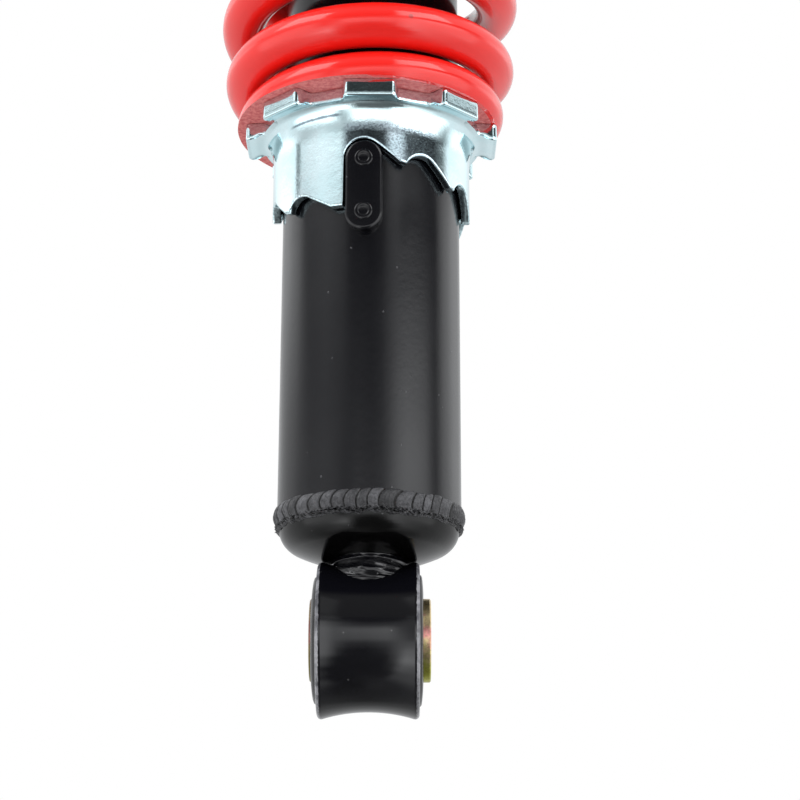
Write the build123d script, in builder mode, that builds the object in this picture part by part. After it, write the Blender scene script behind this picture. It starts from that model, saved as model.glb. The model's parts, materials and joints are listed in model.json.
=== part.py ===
"""Rear shock absorber for a motorcycle: coil spring over a twin-tube damper, an eye with a rubber bush
at each end and a stepped ring for the spring preload.

Millimetres. The origin is the centre of the lower eye's bore, +Z runs up the damper's axis to the upper
eye, and X is the axis of both eye bolts. An angle round the axis is 0 towards -Y and grows towards +X.
"""
import os
from math import asin, atan2, cos, degrees, pi, radians, sin, sqrt, tan

from build123d import *

os.makedirs("parts", exist_ok=True)

# ---- driving dimensions ------------------------------------------------------------------------
eye_to_eye = 330.0
stroke = 50.0
flat_gap = 0.3            # between a stop and what it meets, and between cam and lug
press_gap = 0.05          # radial, between parts pressed or screwed together
running_gap = 0.05        # radial, between parts that slide or turn
swivel_gap = 0.1          # radial, between the spring seat and the eye's stem
same_place = 0.01         # two sizes this close are the same edge

# eyes and their bushes
bolt_bore_radius = 6.1    # clears an M12 bolt
sleeve_wall = 3.85
sleeve_stand_out = 2.05   # of each sleeve end past the eye
sleeve_chamfer = 0.4
bush_wall = 5.6
bush_overhang = 1.7       # how far the rubber stands out past the eye
bush_lip_height = 2.4     # of the rubber's lip over the eye's bore
eye_width = 24.4
eye_waist_wall = 1.4
eye_end_wall = 3.4
eye_edge_round = 1.0

# damper body and its domed bottom
tube_radius = 22.5
tube_wall = 2.0
cap_over_eye = 0.5        # between the eye's waist and the lowest point of the dome
cap_dome_height = 9.5
cap_rim_height = 2.5      # straight rim between the dome and the end of the tube
cap_step_in = 0.5         # how much smaller the cap is than the tube
cap_knuckle = 6.0
cap_wall = 2.5
cap_skirt_wall = 4.0
cap_plug_height = 3.5     # part of the cap that stands inside the tube
bead_stand_out = 1.1
bead_width = 4.7
bead_over_dome = 0.2
neck_half_width = 10.5
neck_half_depth = 11.5
neck_into_cap = 3.5
neck_into_eye = 6.0

# stop lugs that the preload cam rests on
lug_angle = -3.5
lug_over_cap = 90.0       # from the lower end of the tube to the top of the lug
lug_height = 23.6
lug_width = 9.2
lug_thickness = 2.7
lug_edge_round = 0.7
plug_weld_radius = 2.2
plug_weld_crater = 1.2
plug_weld_inset = 4.8     # from each end of the lug

# preload ring
ring_clearance = 0.5
ring_wall = 2.2
ring_height = 30.1
ring_over_notch = 12.7    # from the deepest notch to the top of the flange
flange_thickness = 3.3
flange_bend_radius = 3.0
flange_inner_round = 2.4
tab_count = 8
tab_reach = 7.0           # of a tab's tip past the ring's wall
tab_tip_half_width = 6.1
tab_root_half_width = 7.6
tab_corner_round = 1.4
notch_floor_reach = 2.4
notch_corner_round = 0.9
cam_sets = 2
cam_steps = 5
cam_step_angle = 35.0
cam_step_height = 3.2
cam_ramp_slope = 38.0     # degrees below level
cam_cusp_angle = 21.1     # from the middle of a notch to the crest after it

# coil spring
wire_diameter = 11.1
spring_clearance = 1.05   # between the tube and the end coils
coil_belly = 4.2          # how far the main coils stand out past the end coils
main_pitch = 21.0
opening_turns = 1.6       # over which an end coil opens to the main pitch
ground_tip_thickness = 2.9

# upper spring seat
isolator_thickness = 3.5
isolator_clearance = 1.0
seat_reach = 5.2          # of the seat's edge past the middle of the main coils' wire
seat_plate = 3.5
seat_rim_depth = 6.5
seat_rim_wall = 2.0
seat_collar_clearance = 0.55
seat_collar_wall = 2.5
seat_collar_depth = 8.0
eye_over_seat = 34.5

# piston rod and what is on it
rod_radius = 7.0
rod_spigot_radius = 5.0
rod_thread_radius = 6.0
rod_end_past_nut = 2.0
rod_end_chamfer = 0.8
thread_depth = 22.0
stem_radius = 11.0
stem_flange_radius = 17.0
stem_flange_thickness = 4.0
stem_below_seat = 3.0
lock_nut_height = 8.0
lock_nut_across_flats = 19.0
bump_washer_thickness = 2.0
bump_washer_radius = 14.0
bump_stop_radius = 13.0
bump_stop_height = 22.7
bump_groove_radius = 1.6
bump_grooves = 2

# inside the damper
oil_gap = 4.5             # between the pressure tube and the body tube
pressure_tube_wall = 1.5
base_flange_thickness = 3.0
base_spigot_height = 6.0
base_hole_radius = 1.6
base_hole_count = 6
base_bolt_radius = 3.0
base_bolt_head_radius = 5.5
base_bolt_head_height = 3.0
shim_thickness = 1.5
shim_radius = 11.0
piston_clearance = 0.3
piston_height = 14.0
piston_below_guide = 17.5
piston_hole_radius = 1.5
piston_hole_count = 6
piston_band_height = 7.0
piston_band_depth = 1.0
piston_nut_height = 7.0
piston_nut_across_flats = 16.0
top_out_radius = 11.0
guide_spigot_height = 6.0
guide_body_height = 6.0
bushing_wall = 1.4
seal_height = 4.5
gland_depth = 1.5
gland_lip_thickness = 2.5
gland_chamfer = 0.4
wiper_radius = 9.5
wiper_stand_out = 1.5

# ---- sizes that follow from them -----------------------------------------------------------------
sleeve_radius = bolt_bore_radius + sleeve_wall
sleeve_length = eye_width + 2 * sleeve_stand_out
eye_bore_radius = sleeve_radius + running_gap + bush_wall
bush_lip_radius = eye_bore_radius + bush_lip_height
eye_waist_radius = eye_bore_radius + eye_waist_wall
eye_end_radius = eye_bore_radius + eye_end_wall

tube_bore = tube_radius - tube_wall
cap_radius = tube_radius - cap_step_in
cap_lowest = eye_waist_radius + cap_over_eye
cap_centre = cap_lowest + cap_dome_height
tube_bottom = cap_centre + cap_rim_height
cap_plug_radius = tube_bore - press_gap
cap_plug_top = tube_bottom + cap_plug_height
cap_inner_radius = cap_radius - cap_skirt_wall
bead_bottom = cap_centre + bead_over_dome
bead_top = bead_bottom + bead_width
neck_bottom = eye_waist_radius - neck_into_eye
neck_top = cap_lowest + neck_into_cap

lug_top = tube_bottom + lug_over_cap
lug_bottom = lug_top - lug_height
lug_radius = lug_width / 2
lug_face = tube_radius + lug_thickness
notch_radius = lug_radius + flat_gap
notch_top = lug_top + flat_gap

ring_inner_radius = tube_radius + ring_clearance
ring_outer_radius = ring_inner_radius + ring_wall
flange_top = notch_top + ring_over_notch
flange_bottom = flange_top - flange_thickness
ring_bottom = flange_top - ring_height
tab_root_distance = ring_inner_radius + ring_wall / 2
tab_tip_distance = ring_outer_radius + tab_reach
notch_floor_distance = ring_outer_radius + notch_floor_reach

seat_top = eye_to_eye - eye_over_seat
seat_bottom = seat_top - seat_plate
wire_radius = wire_diameter / 2
end_coil_radius = tube_radius + spring_clearance + wire_radius   # to the middle of the wire
main_coil_radius = end_coil_radius + coil_belly
spring_bottom = flange_top
spring_top = seat_bottom - isolator_thickness
spring_length = spring_top - spring_bottom
end_rise = ground_tip_thickness - wire_radius   # of the wire's middle over the ground face at its tip
closed_pitch = wire_diameter + flat_gap
opening_pitch = (closed_pitch + main_pitch) / 2
main_height = spring_length - 2 * (end_rise + closed_pitch + opening_turns * opening_pitch)
main_turns = main_height / main_pitch

seat_radius = main_coil_radius + seat_reach
seat_collar_radius = end_coil_radius - wire_radius - seat_collar_clearance
isolator_inner_radius = seat_collar_radius + isolator_clearance
stem_bottom = seat_bottom - stem_below_seat
lock_nut_bottom = stem_bottom - lock_nut_height
bump_washer_bottom = lock_nut_bottom - bump_washer_thickness
bump_stop_bottom = bump_washer_bottom - bump_stop_height
rod_top = stem_bottom + thread_depth

wiper_top = bump_stop_bottom - stroke - flat_gap
gland_top = wiper_top - wiper_stand_out
tube_top = gland_top - gland_lip_thickness
gland_bottom = tube_top - gland_depth
guide_body_top = gland_bottom - seal_height
guide_body_bottom = guide_body_top - guide_body_height
guide_bottom = guide_body_bottom - guide_spigot_height
base_flange_bottom = cap_plug_top
base_flange_top = base_flange_bottom + base_flange_thickness
base_spigot_top = base_flange_top + base_spigot_height
pressure_tube_radius = tube_bore - oil_gap
pressure_tube_bore = pressure_tube_radius - pressure_tube_wall
piston_radius = pressure_tube_bore - piston_clearance
rod_shoulder = guide_bottom - piston_below_guide
piston_top = rod_shoulder - shim_thickness
piston_bottom = piston_top - piston_height
piston_nut_top = piston_bottom - shim_thickness
rod_bottom = piston_nut_top - piston_nut_height - rod_end_past_nut


# ---- helpers -------------------------------------------------------------------------------------
def facing_plane(angle):
    """Upright plane through the axis that faces outwards at this angle, its local y along +Z."""
    a = radians(angle)
    return Plane(origin=(0, 0, 0), x_dir=(cos(a), sin(a), 0), z_dir=(sin(a), -cos(a), 0))


def eye_plane(height):
    """Plane through an eye's axis, its local x along the bore and its local y upwards."""
    return Plane(origin=(0, 0, height), x_dir=(1, 0, 0), z_dir=(0, -1, 0))


def eye_axis(height):
    """Axis of the bore of the eye at this height."""
    return Axis((0, 0, height), (1, 0, 0))


def ring(inner, outer, bottom, top, mode=Mode.ADD):
    """Round washer or tube about the damper's axis."""
    with BuildSketch(Plane.XY.offset(bottom)) as profile:
        Circle(outer)
        Circle(inner, mode=Mode.SUBTRACT)
    extrude(profile.sketch, amount=top - bottom, mode=mode)


def disc(radius, bottom, top, mode=Mode.ADD):
    """Solid round bar about the damper's axis."""
    with BuildSketch(Plane.XY.offset(bottom)) as profile:
        Circle(radius)
    extrude(profile.sketch, amount=top - bottom, mode=mode)


def hex_nut(across_flats, inner, bottom, top):
    """Hexagonal nut about the damper's axis, with a plain bore."""
    with BuildSketch(Plane.XY.offset(bottom)) as profile:
        RegularPolygon(across_flats / 2, 6, major_radius=False)
        Circle(inner, mode=Mode.SUBTRACT)
    extrude(profile.sketch, amount=top - bottom)


def eye_outline(height, mode=Mode.ADD):
    """Waisted body of an eye without its bore."""
    half = eye_width / 2
    with BuildSketch(eye_plane(height)) as outline:
        with BuildLine():
            Polyline((half, eye_end_radius), (half, 0), (-half, 0), (-half, eye_end_radius))
            ThreePointArc((-half, eye_end_radius), (0, eye_waist_radius), (half, eye_end_radius))
        make_face()
        fillet(outline.vertices().group_by(Axis.Z)[-1], eye_edge_round)
    revolve(outline.sketch, axis=eye_axis(height), mode=mode)


def eye_bore(height):
    """Cuts the hole for the rubber bush through an eye."""
    with BuildSketch(Plane.YZ.offset(-eye_width)) as profile:
        with Locations((0, height)):
            Circle(eye_bore_radius)
    extrude(profile.sketch, amount=2 * eye_width, mode=Mode.SUBTRACT)


def dome_arcs(radius, depth, knuckle):
    """Half outline of a dished end: a shallow crown from the axis, then a tighter arc up to the rim."""
    crown = ((radius - knuckle) ** 2 + depth ** 2 - knuckle ** 2) / (2 * (depth - knuckle))
    crown_centre = cap_centre + crown - depth
    lean = atan2(radius - knuckle, crown - depth)
    middle = (lean + pi / 2) / 2
    join = (crown * sin(lean), crown_centre - crown * cos(lean))
    crown_middle = (crown * sin(lean / 2), crown_centre - crown * cos(lean / 2))
    ThreePointArc((0, cap_centre - depth), crown_middle, join)
    ThreePointArc(join, (radius - knuckle * (1 - sin(middle)), cap_centre - knuckle * cos(middle)),
                  (radius, cap_centre))


def on_radius(vertex, radius):
    """True for a vertex that lies at this distance from the damper's axis."""
    return abs(Vector(vertex.X, vertex.Y).length - radius) < same_place


def rim_edges(piece, radius):
    """The circles of this radius on a round piece, the highest one last."""
    circles = piece.edges().filter_by(GeomType.CIRCLE)
    return circles.filter_by(lambda edge: abs(edge.radius - radius) < same_place).sort_by(Axis.Z)


def save(piece, name):
    """Labels a finished piece and writes it to its own file."""
    piece.part.label = name
    export_step(piece.part, f"parts/{name}.step")


# ---- eyes, bushes and sleeves ---------------------------------------------------------------------
with BuildPart() as lower_eye:
    eye_outline(0)
    eye_bore(0)
save(lower_eye, "lower_eye")

with BuildPart() as upper_eye:
    disc(stem_radius, stem_bottom, eye_to_eye)
    disc(stem_flange_radius, seat_top, seat_top + stem_flange_thickness)
    fillet(upper_eye.edges().filter_by(GeomType.CIRCLE).group_by(Axis.Z)[-2], eye_edge_round)
    eye_outline(eye_to_eye)
    eye_bore(eye_to_eye)
    disc(rod_thread_radius + press_gap, stem_bottom, stem_bottom + thread_depth + flat_gap, Mode.SUBTRACT)
save(upper_eye, "upper_eye")

for end_name, end_height in (("lower", 0.0), ("upper", eye_to_eye)):
    sleeve_seat = sleeve_radius + running_gap
    lip_inner = (sleeve_seat + bush_lip_radius) / 2
    lip_start = eye_width / 2
    lip_end = lip_start + bush_overhang
    with BuildPart() as bush:
        with BuildSketch(eye_plane(end_height)):
            with BuildLine():
                Polyline((lip_start, eye_bore_radius), (-lip_start, eye_bore_radius))
                Polyline((-lip_start, eye_bore_radius), (-lip_start, bush_lip_radius))
                ThreePointArc((-lip_start, bush_lip_radius), (-lip_end, lip_inner), (-lip_start, sleeve_seat))
                Line((-lip_start, sleeve_seat), (lip_start, sleeve_seat))
                ThreePointArc((lip_start, sleeve_seat), (lip_end, lip_inner), (lip_start, bush_lip_radius))
                Line((lip_start, bush_lip_radius), (lip_start, eye_bore_radius))
            make_face()
        revolve(axis=eye_axis(end_height))
    save(bush, f"{end_name}_bush_rubber")

    with BuildPart() as sleeve:
        with BuildSketch(Plane.YZ.offset(-sleeve_length / 2)):
            with Locations((0, end_height)):
                Circle(sleeve_radius)
                Circle(bolt_bore_radius, mode=Mode.SUBTRACT)
        extrude(amount=sleeve_length)
        chamfer(sleeve.edges().filter_by(GeomType.CIRCLE), sleeve_chamfer)
    save(sleeve, f"{end_name}_bush_sleeve")

# ---- damper body -----------------------------------------------------------------------------------
with BuildPart() as bottom_cap:
    with BuildSketch(Plane.XZ):
        with BuildLine():
            dome_arcs(cap_radius, cap_dome_height, cap_knuckle)
            Polyline((cap_radius, cap_centre), (cap_radius, tube_bottom), (cap_plug_radius, tube_bottom),
                     (cap_plug_radius, cap_plug_top), (cap_inner_radius, cap_plug_top),
                     (cap_inner_radius, cap_centre))
            dome_arcs(cap_inner_radius, cap_dome_height - cap_wall, cap_knuckle - cap_wall)
            Line((0, cap_centre - cap_dome_height + cap_wall), (0, cap_centre - cap_dome_height))
        make_face()
    revolve(axis=Axis.Z)
save(bottom_cap, "bottom_cap")

with BuildPart() as cap_weld_bead:
    with BuildSketch(Plane.XZ):
        with BuildLine():
            ThreePointArc((cap_radius, bead_bottom),
                          (tube_radius + bead_stand_out, (bead_bottom + bead_top) / 2),
                          (tube_radius, bead_top))
            Polyline((tube_radius, bead_top), (tube_radius, tube_bottom), (cap_radius, tube_bottom),
                     (cap_radius, bead_bottom))
        make_face()
    revolve(axis=Axis.Z)
save(cap_weld_bead, "cap_weld_bead")

with BuildPart() as lower_eye_weld:
    with BuildSketch(Plane.XY.offset(neck_bottom)):
        Ellipse(neck_half_width, neck_half_depth)
    extrude(amount=neck_top - neck_bottom)
    eye_outline(0, Mode.SUBTRACT)
    with BuildSketch(Plane.XZ):
        with BuildLine():
            dome_arcs(cap_radius, cap_dome_height, cap_knuckle)
            Polyline((cap_radius, cap_centre), (0, cap_centre), (0, cap_centre - cap_dome_height))
        make_face()
    revolve(axis=Axis.Z, mode=Mode.SUBTRACT)
save(lower_eye_weld, "lower_eye_weld")

with BuildPart() as body_tube:
    ring(tube_bore, tube_radius, tube_bottom, tube_top)
save(body_tube, "body_tube")

with BuildPart() as stop_lugs:
    for lug_side in (lug_angle, lug_angle + 180):
        with BuildSketch(facing_plane(lug_side).offset(tube_bore)):
            with Locations((0, (lug_bottom + lug_top) / 2)):
                SlotOverall(lug_top - lug_bottom, lug_width, rotation=90)
        extrude(amount=tube_radius)
    disc(lug_face, lug_bottom, lug_top, Mode.INTERSECT)
    fillet(stop_lugs.edges().filter_by(lambda edge: all(on_radius(v, lug_face) for v in edge.vertices())),
           lug_edge_round)
    disc(tube_radius, lug_bottom, lug_top, Mode.SUBTRACT)
    for lug_side in (lug_angle, lug_angle + 180):
        with BuildSketch(facing_plane(lug_side).offset(tube_bore)):
            with Locations((0, lug_bottom + plug_weld_inset), (0, lug_top - plug_weld_inset)):
                Circle(plug_weld_radius)
        extrude(amount=tube_radius, mode=Mode.SUBTRACT)
save(stop_lugs, "stop_lugs")

with BuildPart() as lug_plug_welds:
    for lug_side in (lug_angle, lug_angle + 180):
        with BuildSketch(facing_plane(lug_side).offset(tube_bore)):
            with Locations((0, lug_bottom + plug_weld_inset), (0, lug_top - plug_weld_inset)):
                Circle(plug_weld_radius)
        extrude(amount=lug_face - tube_bore - flat_gap)
        with BuildSketch(facing_plane(lug_side).offset(lug_face - flat_gap)):
            with Locations((0, lug_bottom + plug_weld_inset), (0, lug_top - plug_weld_inset)):
                Circle(plug_weld_crater)
        extrude(amount=-2 * flat_gap, mode=Mode.SUBTRACT)
    disc(tube_radius, lug_bottom, lug_top, Mode.SUBTRACT)
save(lug_plug_welds, "lug_plug_welds")

# ---- preload ring ----------------------------------------------------------------------------------
def cam_notch(step):
    """Outline of one notch of the cam: a round seat for the lug, then a ramp down to the next crest."""
    top = notch_top - step * cam_step_height
    centre = top - notch_radius
    slope = radians(cam_ramp_slope)
    ramp_start = (notch_radius * sin(slope), centre + notch_radius * cos(slope))
    crest_x = ring_outer_radius * sin(radians(cam_cusp_angle))
    crest_drop = (crest_x - ramp_start[0]) * tan(slope)
    crest = (crest_x, ramp_start[1] - crest_drop)
    below = ring_bottom - notch_radius
    if step == 0:
        left_foot = (-notch_radius, below)
        left_end = (-notch_radius, centre)
    else:
        before_x = -ring_outer_radius * sin(radians(cam_step_angle - cam_cusp_angle))
        before = (before_x, crest[1] + cam_step_height)
        reach = sqrt(before_x ** 2 + (before[1] - centre) ** 2)
        lean = atan2(before[1] - centre, before_x) - asin(sqrt(reach ** 2 - notch_radius ** 2) / reach)
        left_foot = (before_x, below)
        left_end = (notch_radius * cos(lean), centre + notch_radius * sin(lean))
    with BuildLine() as edge:
        if step > 0:
            Polyline(left_foot, before, left_end)
        else:
            Line(left_foot, left_end)
        ThreePointArc(left_end, (0, top), ramp_start)
        Polyline(ramp_start, crest, (crest_x, below), left_foot)
    make_face(edge.edges())


with BuildPart() as preload_ring:
    with BuildSketch(Plane.XZ) as ring_section:
        with BuildLine():
            Polyline((ring_inner_radius, ring_bottom), (ring_outer_radius, ring_bottom),
                     (ring_outer_radius, flange_bottom), (tab_tip_distance + wire_radius, flange_bottom),
                     (tab_tip_distance + wire_radius, flange_top), (ring_inner_radius, flange_top),
                     (ring_inner_radius, ring_bottom))
        make_face()
        fillet(ring_section.vertices().filter_by(
            lambda v: abs(v.X - ring_outer_radius) < same_place and abs(v.Z - flange_bottom) < same_place),
            flange_bend_radius)
        fillet(ring_section.vertices().filter_by(
            lambda v: abs(v.X - ring_inner_radius) < same_place and abs(v.Z - flange_top) < same_place),
            flange_inner_round)
    revolve(axis=Axis.Z)
    with BuildSketch(Plane.XY.offset(ring_bottom)) as flange_outline:
        RegularPolygon(notch_floor_distance, tab_count, major_radius=False)
        root = (tab_root_distance, tab_root_half_width)
        tip = (tab_tip_distance, tab_tip_half_width)
        with PolarLocations(0, tab_count, start_angle=-90):
            Polygon((0, 0), (root[0], -root[1]), (tip[0], -tip[1]), tip, root, align=None)
        fillet(flange_outline.vertices().filter_by(
            lambda v: Vector(v.X, v.Y).length > tab_tip_distance), tab_corner_round)
        fillet(flange_outline.vertices().filter_by(
            lambda v: Vector(v.X, v.Y).length < tab_tip_distance - tab_corner_round), notch_corner_round)
    extrude(amount=flange_top - ring_bottom, mode=Mode.INTERSECT)
    for cam_set in range(cam_sets):
        for cam_step in range(cam_steps):
            notch_angle = lug_angle + cam_set * 360 / cam_sets + cam_step * cam_step_angle
            with BuildSketch(facing_plane(notch_angle).offset(ring_inner_radius / 2)):
                cam_notch(cam_step)
            extrude(amount=tab_tip_distance, mode=Mode.SUBTRACT)
save(preload_ring, "preload_ring")

# ---- coil spring -----------------------------------------------------------------------------------
def coil(section, start_turn, turns, pitch, start_height, start_radius, end_radius):
    """Sweeps a stretch of wire, counted in turns from its lower tip at the back, and returns its end face."""
    cone = atan2(end_radius - start_radius, turns * pitch)
    start = Plane.XY.rotated((0, 0, 90 + 360 * start_turn)).offset(start_height)
    helix = Edge.make_helix(pitch / cos(cone), turns * pitch, start_radius, angle=degrees(cone))
    path = start.location * helix
    wire = sweep(section, path=path, is_frenet=True)
    return wire.faces().sort_by_distance(path @ 1)[0]


with BuildPart() as coil_spring:
    closed_end = (1, closed_pitch, end_coil_radius, end_coil_radius)
    opening = (opening_turns, opening_pitch, end_coil_radius, main_coil_radius)
    middle = (main_turns, main_pitch, main_coil_radius, main_coil_radius)
    closing = (opening_turns, opening_pitch, main_coil_radius, end_coil_radius)
    with BuildSketch(Plane.YZ, mode=Mode.PRIVATE) as wire_section:
        with Locations((end_coil_radius, spring_bottom + end_rise)):
            Circle(wire_radius)
    section = wire_section.sketch
    turn = 0
    height = spring_bottom + end_rise
    for turns, pitch, start_radius, end_radius in (closed_end, opening, middle, closing, closed_end):
        section = coil(section, turn, turns, pitch, height, start_radius, end_radius)
        turn += turns
        height += turns * pitch
    split(bisect_by=Plane.XY.offset(spring_bottom), keep=Keep.TOP)
    split(bisect_by=Plane.XY.offset(spring_top), keep=Keep.BOTTOM)
save(coil_spring, "coil_spring")

# ---- upper spring seat -----------------------------------------------------------------------------
with BuildPart() as upper_spring_seat:
    ring(stem_radius + swivel_gap, seat_radius, seat_bottom, seat_top)
    ring(seat_radius - seat_rim_wall, seat_radius, seat_bottom - seat_rim_depth, seat_bottom)
    ring(seat_collar_radius - seat_collar_wall, seat_collar_radius,
         seat_bottom - seat_collar_depth, seat_bottom)
    fillet(rim_edges(upper_spring_seat, seat_radius)[-1], seat_rim_wall)
save(upper_spring_seat, "upper_spring_seat")

with BuildPart() as spring_isolator:
    ring(isolator_inner_radius, seat_radius - seat_rim_wall - press_gap, spring_top, seat_bottom)
save(spring_isolator, "spring_isolator")

# ---- piston rod and what it carries ----------------------------------------------------------------
with BuildPart() as piston_rod:
    disc(rod_spigot_radius, rod_bottom, rod_shoulder)
    disc(rod_radius, rod_shoulder, lock_nut_bottom)
    disc(rod_thread_radius, lock_nut_bottom, rod_top)
    chamfer(piston_rod.faces().filter_by(Axis.Z).group_by(Axis.Z)[-1].edges(), rod_end_chamfer)
    chamfer(piston_rod.faces().filter_by(Axis.Z).group_by(Axis.Z)[0].edges(), rod_end_chamfer)
save(piston_rod, "piston_rod")

with BuildPart() as lock_nut:
    hex_nut(lock_nut_across_flats, rod_thread_radius + press_gap, lock_nut_bottom, stem_bottom)
save(lock_nut, "lock_nut")

with BuildPart() as bump_washer:
    ring(rod_radius + press_gap, bump_washer_radius, bump_washer_bottom, lock_nut_bottom)
save(bump_washer, "bump_washer")

with BuildPart() as bump_stop:
    ring(rod_radius + press_gap, bump_stop_radius, bump_stop_bottom, bump_washer_bottom)
    with BuildSketch(Plane.XZ):
        with Locations(*[(bump_stop_radius, bump_stop_bottom + bump_stop_height * k / (bump_grooves + 1))
                         for k in range(1, bump_grooves + 1)]):
            Circle(bump_groove_radius)
    revolve(axis=Axis.Z, mode=Mode.SUBTRACT)
    fillet(bump_stop.edges().group_by(Axis.Z)[0].sort_by(SortBy.LENGTH)[-1], bump_groove_radius)
save(bump_stop, "bump_stop")

with BuildPart() as top_out_bush:
    ring(rod_radius + press_gap, top_out_radius, rod_shoulder, guide_bottom - flat_gap)
save(top_out_bush, "top_out_bush")

for shim_name, shim_bottom in (("compression_shims", piston_top), ("rebound_shims", piston_nut_top)):
    with BuildPart() as shims:
        ring(rod_spigot_radius + press_gap, shim_radius, shim_bottom, shim_bottom + shim_thickness)
    save(shims, shim_name)

with BuildPart() as piston:
    band_bottom = (piston_bottom + piston_top - piston_band_height) / 2
    ring(rod_spigot_radius + press_gap, piston_radius, piston_bottom, piston_top)
    ring(piston_radius - piston_band_depth, piston_radius, band_bottom,
         band_bottom + piston_band_height, Mode.SUBTRACT)
    with BuildSketch(Plane.XY.offset(piston_bottom)):
        with PolarLocations((rod_spigot_radius + shim_radius) / 2, piston_hole_count):
            Circle(piston_hole_radius)
    extrude(amount=piston_height, mode=Mode.SUBTRACT)
save(piston, "piston")

with BuildPart() as piston_band:
    ring(piston_radius - piston_band_depth + press_gap, pressure_tube_bore - running_gap,
         band_bottom + press_gap, band_bottom + piston_band_height - press_gap)
save(piston_band, "piston_band")

with BuildPart() as piston_nut:
    hex_nut(piston_nut_across_flats, rod_spigot_radius + press_gap, piston_nut_top - piston_nut_height,
            piston_nut_top)
save(piston_nut, "piston_nut")

# ---- inside the damper -----------------------------------------------------------------------------
with BuildPart() as pressure_tube:
    ring(pressure_tube_bore, pressure_tube_radius, base_flange_top, guide_body_bottom)
save(pressure_tube, "pressure_tube")

with BuildPart() as base_valve_body:
    ring(base_bolt_radius + press_gap, cap_plug_radius - press_gap, base_flange_bottom, base_flange_top)
    ring(base_bolt_radius + press_gap, pressure_tube_bore - press_gap, base_flange_top, base_spigot_top)
    with BuildSketch(Plane.XY.offset(base_flange_bottom)):
        with PolarLocations((base_bolt_head_radius + pressure_tube_bore) / 2, base_hole_count):
            Circle(base_hole_radius)
        with PolarLocations((pressure_tube_radius + cap_plug_radius) / 2, base_hole_count):
            Circle(base_hole_radius)
    extrude(amount=base_flange_thickness + base_spigot_height, mode=Mode.SUBTRACT)
save(base_valve_body, "base_valve_body")

with BuildPart() as base_valve_shims:
    ring(base_bolt_radius + press_gap, shim_radius, base_spigot_top, base_spigot_top + shim_thickness)
save(base_valve_shims, "base_valve_shims")

with BuildPart() as base_valve_bolt:
    disc(base_bolt_head_radius, base_flange_bottom - base_bolt_head_height, base_flange_bottom)
    disc(base_bolt_radius, base_flange_bottom, base_spigot_top + shim_thickness + base_bolt_head_height)
save(base_valve_bolt, "base_valve_bolt")

with BuildPart() as base_valve_nut:
    base_nut_bottom = base_spigot_top + shim_thickness
    hex_nut(2 * base_bolt_head_radius, base_bolt_radius + press_gap, base_nut_bottom,
            base_nut_bottom + base_bolt_head_height)
save(base_valve_nut, "base_valve_nut")

with BuildPart() as rod_guide:
    bushing_seat = rod_radius + running_gap + bushing_wall + press_gap
    ring(bushing_seat, pressure_tube_bore - press_gap, guide_bottom, guide_body_bottom)
    ring(bushing_seat, tube_bore - press_gap, guide_body_bottom, guide_body_top)
save(rod_guide, "rod_guide")

with BuildPart() as rod_bushing:
    ring(rod_radius + running_gap, rod_radius + running_gap + bushing_wall, guide_bottom, guide_body_top)
save(rod_bushing, "rod_bushing")

with BuildPart() as oil_seal:
    ring(rod_radius + running_gap, tube_bore - press_gap, guide_body_top, gland_bottom)
save(oil_seal, "oil_seal")

with BuildPart() as gland_cap:
    ring(wiper_radius + press_gap, tube_bore - press_gap, gland_bottom, tube_top)
    ring(wiper_radius + press_gap, tube_radius, tube_top, gland_top)
    chamfer(rim_edges(gland_cap, tube_radius)[-1], gland_chamfer)
save(gland_cap, "gland_cap")

with BuildPart() as dust_wiper:
    ring(rod_radius + running_gap, wiper_radius, gland_bottom, wiper_top)
save(dust_wiper, "dust_wiper")
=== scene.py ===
"""Rear shock absorber: finishes, welds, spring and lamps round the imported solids.

Shapes are worked out in millimetres in the part's own frame and turned to metres when a mesh is made.
The damper's axis is Z, the lower eye's centre is the origin, and an angle round the axis is 0 towards -Y
and grows towards +X.
"""
import json

import bpy
import numpy as np
from mathutils import Euler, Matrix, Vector


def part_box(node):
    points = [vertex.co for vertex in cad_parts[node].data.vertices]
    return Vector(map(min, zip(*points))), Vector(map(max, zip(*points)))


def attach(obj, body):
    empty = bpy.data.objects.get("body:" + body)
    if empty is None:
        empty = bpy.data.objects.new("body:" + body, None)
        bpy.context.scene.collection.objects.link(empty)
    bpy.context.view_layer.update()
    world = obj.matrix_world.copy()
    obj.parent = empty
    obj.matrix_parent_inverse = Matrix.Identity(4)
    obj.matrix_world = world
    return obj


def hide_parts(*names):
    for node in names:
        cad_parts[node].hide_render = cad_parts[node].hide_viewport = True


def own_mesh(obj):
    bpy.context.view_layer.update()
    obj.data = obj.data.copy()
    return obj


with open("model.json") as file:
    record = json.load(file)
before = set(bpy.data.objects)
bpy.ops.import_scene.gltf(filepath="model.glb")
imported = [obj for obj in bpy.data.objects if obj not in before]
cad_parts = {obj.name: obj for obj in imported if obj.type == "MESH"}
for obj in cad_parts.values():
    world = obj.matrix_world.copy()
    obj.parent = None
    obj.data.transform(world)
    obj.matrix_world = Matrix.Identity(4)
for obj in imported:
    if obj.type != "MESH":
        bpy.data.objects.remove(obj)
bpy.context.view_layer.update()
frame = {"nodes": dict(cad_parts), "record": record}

MM = 0.001
TURN = 2 * np.pi
random = np.random.default_rng(7)


# ---- sizes read from the solids ----
def box_mm(node):
    """Lowest and highest corner of a solid, in millimetres."""
    low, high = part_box(node)
    return np.array(low) / MM, np.array(high) / MM


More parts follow.
